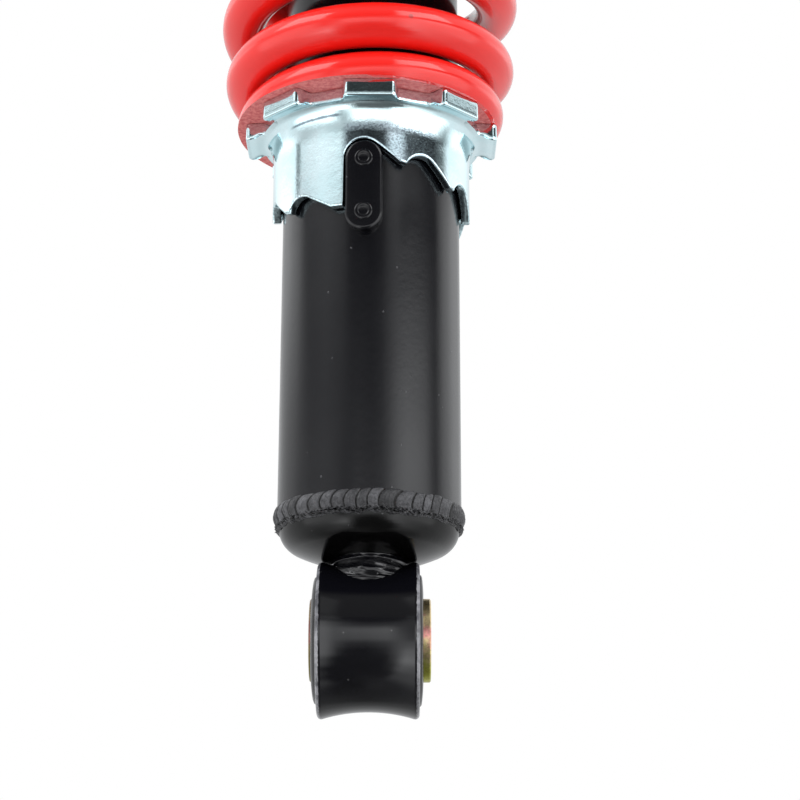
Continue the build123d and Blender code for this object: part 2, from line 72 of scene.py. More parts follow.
tube_radius = box_mm("body_tube")[1][0]
spring_low, spring_high = box_mm("coil_spring")
spring_bottom, spring_top = spring_low[2], spring_high[2]
ring_low, ring_high = box_mm("preload_ring")
bead_low, bead_high = box_mm("cap_weld_bead")
neck_low, neck_high = box_mm("lower_eye_weld")
lug_low, lug_high = box_mm("stop_lugs")
lug_top, lug_face = lug_high[2], -lug_low[1]
sleeve_radius = box_mm("lower_bush_sleeve")[1][2]

# ---- sizes that the solids' boxes don't show, in millimetres and degrees ----
lug_turns = (-3.5, 176.5)
plug_inset = 4.8                # of a plug weld's middle from each end of its lug
bush_radius = sleeve_radius + 5.6
bolt_bore_radius = 6.1
wire_diameter = 11.1
ring_clearance, ring_wall = 0.5, 2.2


# ---- making meshes ----
def grid_faces(points, closed_rows, ends):
    """Faces of one grid of points, turned so that the signed volume under them is positive."""
    rows, columns = points.shape[:2]
    index = np.arange(rows * columns).reshape(rows, columns)
    here = index if closed_rows else index[:-1]
    above = np.roll(index, -1, axis=0) if closed_rows else index[1:]
    quads = np.stack([here, np.roll(here, -1, axis=1), np.roll(above, -1, axis=1), above], axis=-1)
    quads = quads.reshape(-1, 4)
    corners = points.reshape(-1, 3)[quads] - points.reshape(-1, 3).mean(axis=0)
    across = np.cross(corners[:, 2] - corners[:, 0], corners[:, 3] - corners[:, 1])
    volume = np.einsum("ij,ij->", corners.mean(axis=1), across)
    faces = quads[:, ::-1].tolist() if volume < 0 else quads.tolist()
    if ends:
        first, last = index[0].tolist(), index[-1].tolist()
        faces += [first, last[::-1]] if volume < 0 else [first[::-1], last]
    return faces


def lay_grid(name, grids, closed_rows=False, ends=False, marks=None):
    """Mesh from one or more grids of points (row, column, xyz) in millimetres.

    Columns always join round into a loop. Rows join into a loop too, or are closed at both ends with one
    face each. marks holds one number per point under each name, for a finish to read.
    """
    grids = grids if isinstance(grids, list) else [grids]
    faces, count = [], 0
    for points in grids:
        faces += [[count + corner for corner in face] for face in grid_faces(points, closed_rows, ends)]
        count += points.shape[0] * points.shape[1]
    mesh = bpy.data.meshes.new(name)
    mesh.from_pydata((np.concatenate([p.reshape(-1, 3) for p in grids]) * MM).tolist(), [], faces)
    for label, values in (marks or {}).items():
        layer = mesh.attributes.new(label, "FLOAT", "POINT")
        layer.data.foreach_set("value", np.ascontiguousarray(values, np.float32).ravel())
    mesh.shade_smooth()
    mesh.set_sharp_from_angle(angle=np.radians(40))
    piece = bpy.data.objects.new(name, mesh)
    bpy.context.scene.collection.objects.link(piece)
    return piece


def smooth_step(value, low, high):
    """0 below low, 1 above high and an S-shaped rise between them."""
    t = np.clip((value - low) / (high - low), 0, 1)
    return t * t * (3 - 2 * t)


def lumps(*angles_and_heights, waves=24, finest=9.0, seed=1):
    """Smooth random unevenness from -1 to 1: a sum of sine waves in the given coordinates."""
    draw = np.random.default_rng(seed)
    total = 0
    for _ in range(waves):
        beats = [draw.integers(-finest, finest + 1) for _ in angles_and_heights]
        phase = draw.uniform(0, TURN)
        total = total + np.sin(sum(beat * place for beat, place in zip(beats, angles_and_heights)) + phase)
    return total / np.sqrt(waves)


def unit(ways):
    """Directions scaled to a length of 1."""
    return ways / np.linalg.norm(ways, axis=-1, keepdims=True)


def around(angle, radius, height):
    """Points at an angle round the axis, a radius and a height."""
    angle, radius, height = np.broadcast_arrays(angle, radius, height)
    return np.stack([radius * np.sin(angle), -radius * np.cos(angle), height], axis=-1)


# ---- coil spring ----
def spring_law(stations):
    """Middle line of the wire against turns from its lower tip, which points to the back.

    Height: the first turn closes at one wire's pitch, then the pitch grows evenly to the main pitch, and
    the far end mirrors the near one. Radius: the end turn is drawn in and steps out to the main coils.
    The whole coil leans a little to one side and stands a little off the axis, as wound springs do.
    """
    closed_pitch, main_pitch, growth = wire_diameter, 21.2, 6.3
    tip_drop = 3.0          # of the wire's middle below the ground face, at the very tip
    end_radius, step_out, belly = 29.1, 2.8, 1.4
    opened = 1 + (main_pitch - closed_pitch) / growth
    tip = spring_bottom - tip_drop
    end_rise = closed_pitch * opened + growth / 2 * (opened - 1) ** 2
    total = spring_top - spring_bottom + 2 * tip_drop
    count = 2 * opened + (total - 2 * end_rise) / main_pitch
    turns = np.linspace(0, count, stations)
    from_end = np.minimum(turns, count - turns)
    rise = closed_pitch * from_end + growth / 2 * np.clip(from_end - 1, 0, opened - 1) ** 2
    rise = np.where(from_end > opened, end_rise + main_pitch * (from_end - opened), rise)
    height = np.where(turns < count / 2, tip + rise, tip + total - rise)
    radius = end_radius + step_out * smooth_step(from_end, 0.7, 1.3)
    radius = radius + belly * smooth_step(from_end, 1.5, 2.4)
    angle = TURN * turns - np.pi
    free = smooth_step(from_end, 0.1, 1.0)
    tilt, shift = 1.2, 0.6
    centre = around(angle, radius, height - tilt * free * np.sin(angle))
    centre[:, 0] -= shift * free
    return centre, np.stack([np.sin(angle), -np.cos(angle), 0 * angle], axis=-1)


def coil_spring(stations=1150, flat_points=5, side_points=17):
    """Round wire carried along the spring's law, cut level by the two ground faces.

    At each station the section is a circle. Where a ground face cuts it, the points between the cut's two
    corners drop onto that face, so the face's edge is a line of the grid.
    """
    half = wire_diameter / 2
    centre, outward = spring_law(stations)
    along = unit(np.gradient(centre, axis=0))
    upward = unit(np.cross(outward, along))
    upward *= np.sign(upward[:, 2:3])
    outward = np.cross(along, upward)
    outward *= np.sign(np.einsum("ij,ij->i", outward, centre * [1, 1, 0]))[:, None]
    steps = 2 * (flat_points + side_points + 2)
    natural = np.pi * (flat_points + 1) / steps
    lower = np.arccos(np.clip((centre[:, 2] - spring_bottom) / (half * upward[:, 2]), -1, 1))
    upper = np.arccos(np.clip((spring_top - centre[:, 2]) / (half * upward[:, 2]), -1, 1))
    lower, upper = np.maximum(lower, natural), np.maximum(upper, natural)
    flat = np.linspace(-1, 1, flat_points + 2)[None, :]
    side = np.linspace(0, 1, side_points + 2)[None, 1:-1]
    right = upper[:, None] + side * (np.pi - lower - upper)[:, None]
    angle = np.concatenate([upper[:, None] * flat, right, np.pi + lower[:, None] * flat,
                            TURN - right[:, ::-1]], axis=1)
    points = centre[:, None] + half * (np.cos(angle)[..., None] * upward[:, None]
                                       + np.sin(angle)[..., None] * outward[:, None])
    points[..., 2] = np.clip(points[..., 2], spring_bottom, spring_top)
    height, on_face = points[..., 2], 1e-6
    ground = (np.abs(height - spring_bottom) < on_face) | (np.abs(height - spring_top) < on_face)
    return lay_grid("coil_spring_wound", points, ends=True, marks={"ground": ground})


# ---- preload ring ----
def arc(centre, radius, start, end, count):
    """Points on a circle between two angles, counted from the first axis."""
    angle = np.radians(np.linspace(start, end, count))
    return np.stack([centre[0] + radius * np.cos(angle), centre[1] + radius * np.sin(angle)], axis=-1)


def rounded(corners, radii, count=7):
    """A chain of corners with each inner one turned into an arc of its own radius."""
    chain = [np.array(corners[:1], float)]
    for before, corner, after, radius in zip(corners, corners[1:], corners[2:], radii):
        before, corner, after = (np.array(v, float) for v in (before, corner, after))
        back, ahead = unit(before - corner), unit(after - corner)
        half = np.arccos(back @ ahead) / 2
        start, end = corner + back * radius / np.tan(half), corner + ahead * radius / np.tan(half)
        middle = corner + unit(back + ahead) * radius / np.sin(half)
        share = np.linspace(0, 1, count)[:, None]
        chain.append(middle + radius * unit(start * (1 - share) + end * share - middle))
    return np.concatenate(chain + [np.array(corners[-1:], float)])


def tab_outline(tabs, wall):
    """Outline of the flange seen from above, as angle and distance.

    Half a tab is a chain: straight tip, rounded corner, nearly straight side, rounded corner and the flat
    floor of the notch beside it. It is cut into steps of at most 1, mirrored and repeated round the axis.
    """
    pitch = np.pi / tabs
    tip, notch_floor, longest_step = wall + 7.0, wall + 2.4, 1.0
    root, end = np.array([wall - 1.1, 6.7]), np.array([tip, 6.5])
    slope = end - root
    normal = np.array([np.cos(pitch), np.sin(pitch)])
    at_floor = root + slope * (notch_floor - root @ normal) / (slope @ normal)
    corners = [(tip, 0), tuple(end), tuple(at_floor), tuple(notch_floor * normal)]
    chain = rounded(corners, (1.2, 1.3))
    way = np.concatenate([[0], np.cumsum(np.linalg.norm(np.diff(chain, axis=0), axis=1))])
    fine = np.union1d(way, np.arange(0, way[-1], longest_step))
    chain = np.stack([np.interp(fine, way, chain[:, 0]), np.interp(fine, way, chain[:, 1])], axis=1)
    angle, distance = np.arctan2(chain[:, 1], chain[:, 0]), np.hypot(chain[:, 0], chain[:, 1])
    angle = np.concatenate([-angle[::-1], angle[1:-1]])
    distance = np.concatenate([distance[::-1], distance[1:-1]])
    turns = np.arange(tabs)[:, None] * 2 * pitch
    return (turns + angle).ravel(), np.tile(distance, tabs)


def cam_edge(wall, bottom):
    """Lower edge of the ring's wall as angle and height: two sets of five round notches joined by ramps.

    Each notch is lower than the one before it by a step and turned by an equal angle. From each notch a
    straight ramp falls to a sharp crest, and the next notch starts at that crest.
    """
    notch, slope, cusp = 5.0, np.radians(38), np.radians(21.1)
    steps, step_turn, step_drop, lug_gap = 5, 35, 3.2, 0.3
    angles, heights = [], []
    for lug in lug_turns:
        for step in range(steps):
            middle = np.radians(lug + step_turn * step)
            top = lug_top + lug_gap - step_drop * step
            ramp = np.array([notch * np.sin(slope), top - notch + notch * np.cos(slope)])
            crest = np.array([wall * np.sin(cusp), 0])
            crest[1] = ramp[1] - (crest[0] - ramp[0]) * np.tan(slope)
            lean = 180 if step == 0 else 155
            bow = arc((0, top - notch), notch, lean, 90 - np.degrees(slope), 15)
            if step == 0:
                bow = np.concatenate([[[-notch - 0.12, bottom]], bow])
            last = [[crest[0], max(crest[1], bottom)]]
            if step == steps - 1:
                last.append([crest[0] + 0.15, bottom])
            chain = np.concatenate([bow, last])
            angles.append(middle + np.arcsin(chain[:, 0] / wall))
            heights.append(np.maximum(chain[:, 1], bottom))
    return np.concatenate(angles), np.concatenate(heights)


def edge_normal(angle, height, radius):
    """Unit directions square to a line given by angle and height on a cylinder, pointing down from it."""
    run = np.gradient(np.unwrap(np.concatenate([angle[-3:] - TURN, angle, angle[:3] + TURN]))) * radius
    fall = np.gradient(np.concatenate([height[-3:], height, height[:3]]))
    size = np.hypot(run, fall)
    return (fall / size)[3:-3], (-run / size)[3:-3]


def flare():
    """Line from the ring's wall out to its flange: a wide curve up to 14 degrees, then a tight one.

    Gives the lean of the surface in degrees, and how far it has gone out and up by there.
    """
    wide, tight, change = 22.0, 2.6, np.radians(14)
    lean = np.radians(np.linspace(0, 90, 61))
    first, second = np.minimum(lean, change), np.maximum(lean, change)
    out_way = wide * (1 - np.cos(first)) + tight * (np.cos(change) - np.cos(second))
    up_way = wide * np.sin(first) + tight * (np.sin(second) - np.sin(change))
    return np.degrees(lean), out_way, up_way


def preload_ring():
    """Pressed ring: wall, bend and tabbed flange, as one closed section carried round the axis.

    The section's lower end follows the cam's edge and its outer end follows the outline of the tabs, and
    each cut edge is eased by a small round. Columns stand wherever either line has a corner.
    """
    inner = tube_radius + ring_clearance
    wall, ease = inner + ring_wall, 0.38
    top, bottom = ring_high[2], ring_low[2]
    under, inner_round, closest = top - 3.3, 2.4, 0.0012
    lip_depth, upper_line, lower_line = 1.2, 1.25, 1.2      # lines that keep the cut edge flat between them
    tab_angle, tab_distance = tab_outline(8, wall)
    cam_angle, cam_height = cam_edge(wall, bottom)
    order, cam_order = np.argsort(tab_angle % TURN), np.argsort(cam_angle % TURN)
    tab_angle, tab_distance = (tab_angle % TURN)[order], tab_distance[order]
    cam_angle, cam_height = (cam_angle % TURN)[cam_order], cam_height[cam_order]
    angle = np.sort(np.concatenate([tab_angle, cam_angle, np.arange(0, TURN, TURN / 420)]))
    angle = angle[np.concatenate([[True], np.diff(angle) > closest])]
    distance = np.interp(angle, tab_angle, tab_distance, period=TURN)
    cam = np.interp(angle, cam_angle, cam_height, period=TURN)

    flat = around(angle, distance, 0 * angle)
    tangent = unit(np.roll(flat, -1, axis=0) - np.roll(flat, 1, axis=0))
    out = np.stack([tangent[:, 1], -tangent[:, 0], 0 * angle], axis=-1)
    sideways, downward = edge_normal(angle, cam, wall)

    lean, out_way, up_way = flare()
    flare_foot = under - up_way[-1]
    cut_lean = np.interp(distance - ease - wall, out_way, lean)
    tab_under = flare_foot + np.interp(cut_lean, lean, up_way)
    steps = cut_lean[:, None] * (1 - np.linspace(0, 1, 15)[1:])

    # points of an edge's round: how far each is set in from the face and drawn back from the edge
    rounds = [(ease * (1 - np.cos(turn)), ease * (1 - np.sin(turn))) for turn in np.radians([0, 30, 60, 90])]
    columns, cut = [], []

    def add_line(place, is_cut):
        """One line round the ring. is_cut marks the edges that were cut, which a finish reads."""
        columns.append(place)
        cut.append(np.full(len(angle), float(is_cut)))

    def add_skin(radius, height):
        add_line(around(angle, radius, height), False)

    def add_flange_edge(height, drop=0.0):
        """A line of the flange's cut edge, drawn in square to the outline by drop."""
        place = flat - out * drop
        place[:, 2] = height
        add_line(place, True)

    for share in np.linspace(0, 1, 7):
        add_skin(inner, (cam + 2 * ease) * (1 - share) + (top - inner_round) * share)
    flat_start = inner + inner_round
    for turn in np.radians([150, 120, 90]):
        add_skin(flat_start + inner_round * np.cos(turn), top - inner_round + inner_round * np.sin(turn))
    for share in (0.25, 0.5, 0.75, 0.93):
        add_skin(flat_start + (distance - ease - flat_start) * share, top)
    for inset, drop in rounds:
        add_flange_edge(top - inset, drop)
    add_flange_edge(top - upper_line)
    lip = lip_depth * smooth_step(distance, wall + 4.0, wall + 6.5)
    add_flange_edge(tab_under - lip + lower_line)
    for inset, drop in rounds[::-1]:
        add_flange_edge(tab_under - lip + inset, drop)
    bend_out = wall + out_way[-1]
    start = np.maximum(distance - ease, bend_out)
    for share, lip_left in ((0.2, 0.8), (0.45, 0.25), (0.75, 0.0)):
        add_skin(start + (np.minimum(start, bend_out) - start) * share, tab_under - lip * lip_left)
    for step in steps.T:
        add_skin(wall + np.interp(step, lean, out_way), flare_foot + np.interp(step, lean, up_way))
    for share in np.linspace(0, 1, 9)[1:]:
        add_skin(wall, flare_foot * (1 - share) + (cam + 2 * ease) * share)
    for radius, side in ((wall, 1), (inner, -1)):
        for inset, drop in rounds[::side]:
            shift = sideways * drop / radius
            add_line(around(angle - shift, radius - side * inset, cam - downward * drop), True)
    points = np.stack(columns, axis=1)
    return lay_grid("preload_ring_pressed", points, closed_rows=True,
                    marks={"cut": np.stack(cut, axis=1)})


# ---- welds ----
def cap_weld(beads=45, per_bead=22, section=34):
    """Ring weld between cap and tube: a low arch made of overlapping plates.

    Every plate ends in a groove that bows along the ring, its top is rounded and a few finer waves follow
    its groove. The lower toe is ragged, where the metal has frozen in small beads.
    """
    bow, wander, gap_width = 0.40, 0.30, 0.075         # of the grooves, in plates
    arch_height, plate_height, groove_depth, toe_drop = 0.80, 0.34, 0.22, 1.1
    angle = np.linspace(0, TURN, beads * per_bead, endpoint=False)[:, None]
    up = np.linspace(0, 1, section)[None, :]
    arch = np.sin(np.pi * up) ** 0.55
    uneven = lumps(angle, waves=14, finest=13, seed=3)
    beat = beads * angle / TURN - bow * (2 * up - 0.9) ** 2 + wander * uneven
    part = beat - np.floor(beat)
    lot = (np.floor(beat) % beads).astype(int)
    size = random.uniform(0.4, 1.0, beads)[lot]
    gap = np.minimum(part, 1 - part)
    groove = np.exp(-(gap / gap_width) ** 2) * smooth_step(up, 0.2, 0.32)
    plate = size * (0.55 + 0.45 * part) * np.sqrt(np.clip(4 * gap, 0, 1))
    waves = 0.035 * np.sin(TURN * (3 + 2 * size) * part) * smooth_step(gap, 0.05, 0.2)
    grain = lumps(angle, TURN * up, waves=60, finest=150, seed=5)
    toe = np.exp(-((up - 0.13) / 0.12) ** 2)
    height = arch * (arch_height + plate_height * plate - groove_depth * groove + waves)
    height = height + toe * (0.16 + 0.26 * grain) + 0.02 * grain * arch
    low, high = bead_low[2] - toe_drop, bead_high[2]
    toe_wander = 0.26 * lumps(angle, waves=24, finest=50, seed=8)
    z = low + (high - low) * up + toe_wander * (1 - up) + (0.14 * uneven + 0.5 * plate - 0.25) * up ** 3
    base = tube_radius - 0.5 + 0.5 * smooth_step(up, 0.25, 0.6)
    outer = around(angle, base + height, z)
    inner = around(angle, tube_radius - 1.2, np.linspace(high, low, 4)[None, :] + 0 * angle)
    # painted shade: the grooves between plates and the hollows of the toe are marked to be painted dark
    dark = np.clip(groove + toe * smooth_step(-grain, -0.2, 0.5), 0, 1)
    # each plate's own random grey, darker along the toe, with painted highlights on the tops of the toe's
    # beads
    tone_and_toe_highlight = random.uniform(0.1, 1.0, beads)[lot] * (1 - 0.6 * toe) + 0.3 * toe * (grain > 0.4)
    plain = np.zeros(inner.shape[:2])
    marks = {label: np.concatenate([mark, plain], axis=1)
             for label, mark in (("groove", dark), ("tone_and_toe_highlight", tone_and_toe_highlight))}
    points = np.concatenate([outer, inner], axis=1)
    return lay_grid("cap_weld_crescents", points, closed_rows=True, marks=marks)


def neck_weld(rows=100, around_count=400):
    """Stub between eye and cap with a pool of weld metal run down its front and back.

    An ellipse that narrows towards the cap and spreads again where it meets it. The pool is an
    almond-shaped swelling with fine ridges along its outline, drawn out to one side, and a smooth core.
    """
    half_width, foot_half_width, foot_half_depth = 10.5, 11.2, 11.6
    pool_height, pool_half_width, pool_half_height, pool_depth, pool_aside = 16.4, 8.6, 3.2, 1.1, 1.5
    angle = np.linspace(0, TURN, around_count, endpoint=False)[None, :]
    up = np.linspace(0, 1, rows)[:, None]
    z = neck_low[2] + (neck_high[2] - neck_low[2]) * up
    spread_out = 1.1 * smooth_step(up, 0.86, 1.0)
    taper = 2.4 * smooth_step(z, 13.0, 19.5)
    lump = 0.12 * lumps(angle, TURN * up, waves=16, finest=3, seed=11)
    along = np.sin(angle) * half_width
    aside = along - np.sign(np.cos(angle)) * pool_aside
    level = z - pool_height + 0.02 * along ** 2
    from_middle = np.hypot(aside / pool_half_width, level / pool_half_height)
    from_middle = from_middle + 0.05 * lumps(angle, 3 * up, waves=14, finest=6, seed=21)
    front = np.abs(np.cos(angle)) ** 1.5
    pool = front * (1 - smooth_step(from_middle, 0.2, 1.1))
    ridges = sum(size * np.exp(-((from_middle - at) / 0.055) ** 2)
                 for at, size in ((0.98, 0.20), (0.74, 0.16), (0.60, 0.10), (0.34, 0.08)))
    broken = 0.6 + 0.4 * lumps(angle, 2 * up, waves=10, finest=9, seed=23)
    wide = foot_half_width - taper + spread_out + lump
    deep = foot_half_depth - 0.6 * taper + spread_out + lump + pool_depth * pool + ridges * broken * front
    x, y = wide * np.sin(angle), -deep * np.cos(angle)
    points = np.stack(np.broadcast_arrays(x, y, z), axis=-1)
    return lay_grid("neck_weld_pool", points, ends=True)


def plug_welds(spokes=40):
    """Plug welds of the two stop lugs: low round buttons with a sunk middle, laid on the lugs' faces.

    Each is a line of (distance from its middle, rise over the lug), turned round with an uneven rim.
    """
    profile = ((0.02, -0.04), (0.5, -0.04), (0.9, 0.0), (1.1, 0.02), (1.22, 0.06), (1.34, 0.11),
               (1.5, 0.16), (1.7, 0.19), (1.9, 0.19), (2.05, 0.16), (2.16, 0.10), (2.24, 0.03),
               (2.3, -0.1), (2.3, -0.6))
    far, rise = np.array(profile).T[..., None]
    spot = np.linspace(0, TURN, spokes, endpoint=False)[None, :]
    grids = []
    for turn in np.radians(lug_turns):
        for height in (lug_low[2] + plug_inset, lug_high[2] - plug_inset):
            rough = 1 + 0.015 * lumps(spot, waves=8, finest=3, seed=int(height) + int(10 * turn))
            radius = far * np.where(far > 1, rough, 1)
            side, up = radius * np.cos(spot), radius * np.sin(spot)
            grids.append(around(turn + side / lug_face, lug_face + rise, height + up))
    return lay_grid("plug_weld_buttons", grids, ends=True)


# ---- lower bush ----
def turned_piece(name, profile, steps=96, shake=0.0, marks=False):
    """Closed profile of (x, radius) corners turned round the eye's axis, with a slight unevenness."""
    angle = np.linspace(0, TURN, steps, endpoint=False)[:, None]
    x, radius = np.array(profile, float).T
    wobble = shake * lumps(angle, TURN * np.linspace(0, 1, len(x))[None, :], waves=16, finest=6, seed=14)
    x, radius = x[None, :] + 0.6 * wobble, radius[None, :] + wobble
    points = np.stack([x, -radius * np.cos(angle), radius * np.sin(angle)], axis=-1)
    values = {"height": points[..., 2] / sleeve_radius} if marks else None
    return lay_grid(name, points, closed_rows=True, marks=values)


def lower_rubber():
    """Rubber of the lower bush. It bulges further out on the left, and the right lip is nearly flat."""
    left = [(-12.2, 15.5), (-12.55, 15.2), (-12.9, 14.9), (-13.15, 14.2), (-13.32, 13.2), (-13.42, 12.2),
            (-13.42, 11.4), (-13.3, 10.8), (-13.0, 10.35), (-12.4, sleeve_radius)]
    right = [(12.3, sleeve_radius), (12.8, 10.4), (13.0, 11.0), (13.02, 12.0), (12.95, 13.2), (12.85, 14.4),
             (12.75, 15.1), (12.55, 15.5), (12.2, 15.7), (12.0, bush_radius)]
    middle = [(-11.0, bush_radius), (-12.0, bush_radius)]
    inside = [(x, sleeve_radius) for x in np.linspace(-11.5, 11.5, 8)]
    return turned_piece("lower_rubber_moulded", left + inside + right + middle, shake=0.05)


def lower_sleeve():
    """Steel sleeve of the lower bush with eased ends. It sits a little to the right in its rubber."""
    left, right, bore, ease = -14.0, 14.85, bolt_bore_radius, 0.3
    outer = [(x, sleeve_radius) for x in np.linspace(left + ease, right - ease, 30)]
    profile = [(left, bore + ease), (left, sleeve_radius - ease), *outer, (right, sleeve_radius - ease),
               (right, bore + ease), (right - ease, bore), (left + ease, bore)]
    return turned_piece("lower_sleeve_turned", profile, marks=True)


# ---- adding shader nodes ----
def add(tree, kind, inputs=None, **settings):
    """Adds a shader node, sets it, and fills its sockets with values or joins them to other sockets."""
    node = tree.nodes.new("ShaderNode" + kind)
    for key, value in settings.items():
        setattr(node, key, value)
    for key, value in (inputs or {}).items():
        if isinstance(value, bpy.types.NodeSocket):
            tree.links.new(value, node.inputs[key])
        else:
            node.inputs[key].default_value = value
    return node


def maths(tree, operation, first, second=0.0):
    """Result of a sum on one or two numbers."""
    return add(tree, "Math", {0: first, 1: second}, operation=operation).outputs[0]


def times(tree, first, second):
    """Product of two numbers. Of two masks, it is the place that both cover."""
    return maths(tree, "MULTIPLY", first, second)


def spread(tree, value, low, high, to_low=0.0, to_high=1.0):
    """A number moved smoothly from one range to another and kept inside it."""
    node = add(tree, "MapRange", {0: value, 1: low, 2: high, 3: to_low, 4: to_high},
               interpolation_type="SMOOTHSTEP")
    return node.outputs[0]


def fade(tree, value, low, high):
    """1 below low, 0 above high."""
    return spread(tree, value, low, high, 1.0, 0.0)


def between(tree, value, rise, fall):
    """1 in a band of values, 0 outside it. rise and fall are the ranges over which it comes and goes."""
    return times(tree, spread(tree, value, *rise), fade(tree, value, *fall))


def mix_colour(tree, share, first, second):
    """Colour between two colours."""
    return add(tree, "Mix", {0: share, 6: first, 7: second}, data_type="RGBA").outputs[2]


def mix_number(tree, share, first, second):
    """Number between two numbers."""
    return add(tree, "Mix", {0: share, 2: first, 3: second}).outputs[0]


def noise(tree, place, scale, detail=4.0, roughness=0.55):
    """Cloudy value from 0 to 1."""
    return add(tree, "TexNoise", {"Vector": place, "Scale": scale, "Detail": detail,
                                  "Roughness": roughness}).outputs[0]


def object_place(tree):
    """Place on the piece, in metres in the part's frame."""
    return add(tree, "TexCoord").outputs["Object"]


def mark_of(tree, label):
    """Number that a piece's mesh carries under a name."""
    return add(tree, "Attribute", attribute_name=label).outputs["Fac"]


def node_group(name, inputs, outputs):
    """Empty group with named number, colour or direction sockets."""
    kinds = {"number": "NodeSocketFloat", "colour": "NodeSocketColor", "direction": "NodeSocketVector"}
    group = bpy.data.node_groups.new(name, "ShaderNodeTree")
    for label, value in inputs.items():
        socket = group.interface.new_socket(label, in_out="INPUT", socket_type="NodeSocketFloat")
        socket.default_value = value
    for label, kind in outputs.items():
        group.interface.new_socket(label, in_out="OUTPUT", socket_type=kinds[kind])
    return group, group.nodes.new("NodeGroupInput").outputs, group.nodes.new("NodeGroupOutput").inputs


def place_group(tree, group, **values):
    """Puts a group into a finish with its own values."""
    node = tree.nodes.new("ShaderNodeGroup")
    node.node_tree = group
    for label, value in values.items():
        node.inputs[label.replace("_", " ").capitalize()].default_value = value
    return node.outputs


# ---- effects shared by several finishes ----
def build_paint_skin():
    """Paint skin: a faint orange peel with a few specks of dust caught in it."""
    group, given, result = node_group(
        "paint skin", {"Peel size": 900.0, "Peel depth": 0.1, "Speck size": 900.0, "Speck share": 0.5},
        {"Normal": "direction", "Specks": "number"})
    place = object_place(group)
    peel = noise(group, place, given["Peel size"], 2.0)
    cells = add(group, "TexVoronoi", {"Vector": place, "Scale": given["Speck size"]})
    lot = add(group, "SeparateColor", {0: cells.outputs["Color"]}).outputs[0]
    chosen = maths(group, "LESS_THAN", lot, times(group, given["Speck share"], 0.1))
    speck = times(group, chosen, fade(group, cells.outputs["Distance"], 0.1, 0.28))
    height = maths(group, "ADD", times(group, peel, given["Peel depth"]), times(group, speck, 0.25))
    bump = add(group, "Bump", {"Height": height, "Strength": 0.35, "Distance": 0.0004})
    group.links.new(bump.outputs[0], result["Normal"])
    group.links.new(speck, result["Specks"])
    return group


def build_grain():
    """Rough grain, as on cast weld metal or a torn edge: a bumpy normal and a mask of its hollows."""
    group, given, result = node_group("metal grain", {"Grain size": 1500.0, "Grain depth": 0.5},
                                      {"Normal": "direction", "Hollows": "number"})
    place = object_place(group)
    coarse = noise(group, place, given["Grain size"], 5.0, 0.65)
    bump = add(group, "Bump", {"Height": times(group, coarse, given["Grain depth"]), "Strength": 0.6,
                               "Distance": 0.0005})
    group.links.new(bump.outputs[0], result["Normal"])
    group.links.new(fade(group, coarse, 0.38, 0.55), result["Hollows"])
    return group


def build_handling_marks():
    """Soft smudges from handling, as a number that varies over a few centimetres."""
    group, given, result = node_group("handling marks", {"Mark size": 60.0}, {"Smudge": "number"})
    cloud = noise(group, object_place(group), given["Mark size"], 3.0, 0.6)
    group.links.new(spread(group, cloud, 0.35, 0.7), result["Smudge"])
    return group


paint_skin = build_paint_skin()
metal_grain = build_grain()
handling_marks = build_handling_marks()


# ---- finishes ----
BLACK = (0.0032, 0.0032, 0.0048, 1)
WORN_STEEL = (0.30, 0.30, 0.32, 1)


def finish(name, **sockets):
    """New material, its tree and its shader, with the shader's constant values set."""
    material = bpy.data.materials.new(name)
    material.use_nodes = True
    tree = material.node_tree
    shader = tree.nodes["Principled BSDF"]
    for key, value in sockets.items():
        shader.inputs[key.replace("_", " ")].default_value = value
    return material, tree, shader


def join(tree, shader, **sockets):
    """Joins what a finish has worked out to the shader's sockets of those names."""
    for key, socket in sockets.items():
        tree.links.new(socket, shader.inputs[key.replace("_", " ")])


def black_paint(name="black enamel", gloss=0.42, black=BLACK):
    """Semi-gloss black enamel over steel, with orange peel, dust specks and smudges."""
    material, tree, shader = finish(name, Specular_IOR_Level=gloss)
    skin = place_group(tree, paint_skin, peel_size=700.0, peel_depth=0.10, speck_share=0.16)
    smudge = place_group(tree, handling_marks, mark_size=45.0)["Smudge"]
    join(tree, shader, Base_Color=mix_colour(tree, skin["Specks"], black, (0.06, 0.06, 0.065, 1)),
         Roughness=mix_number(tree, smudge, 0.14, 0.20), Normal=skin["Normal"])
    return material


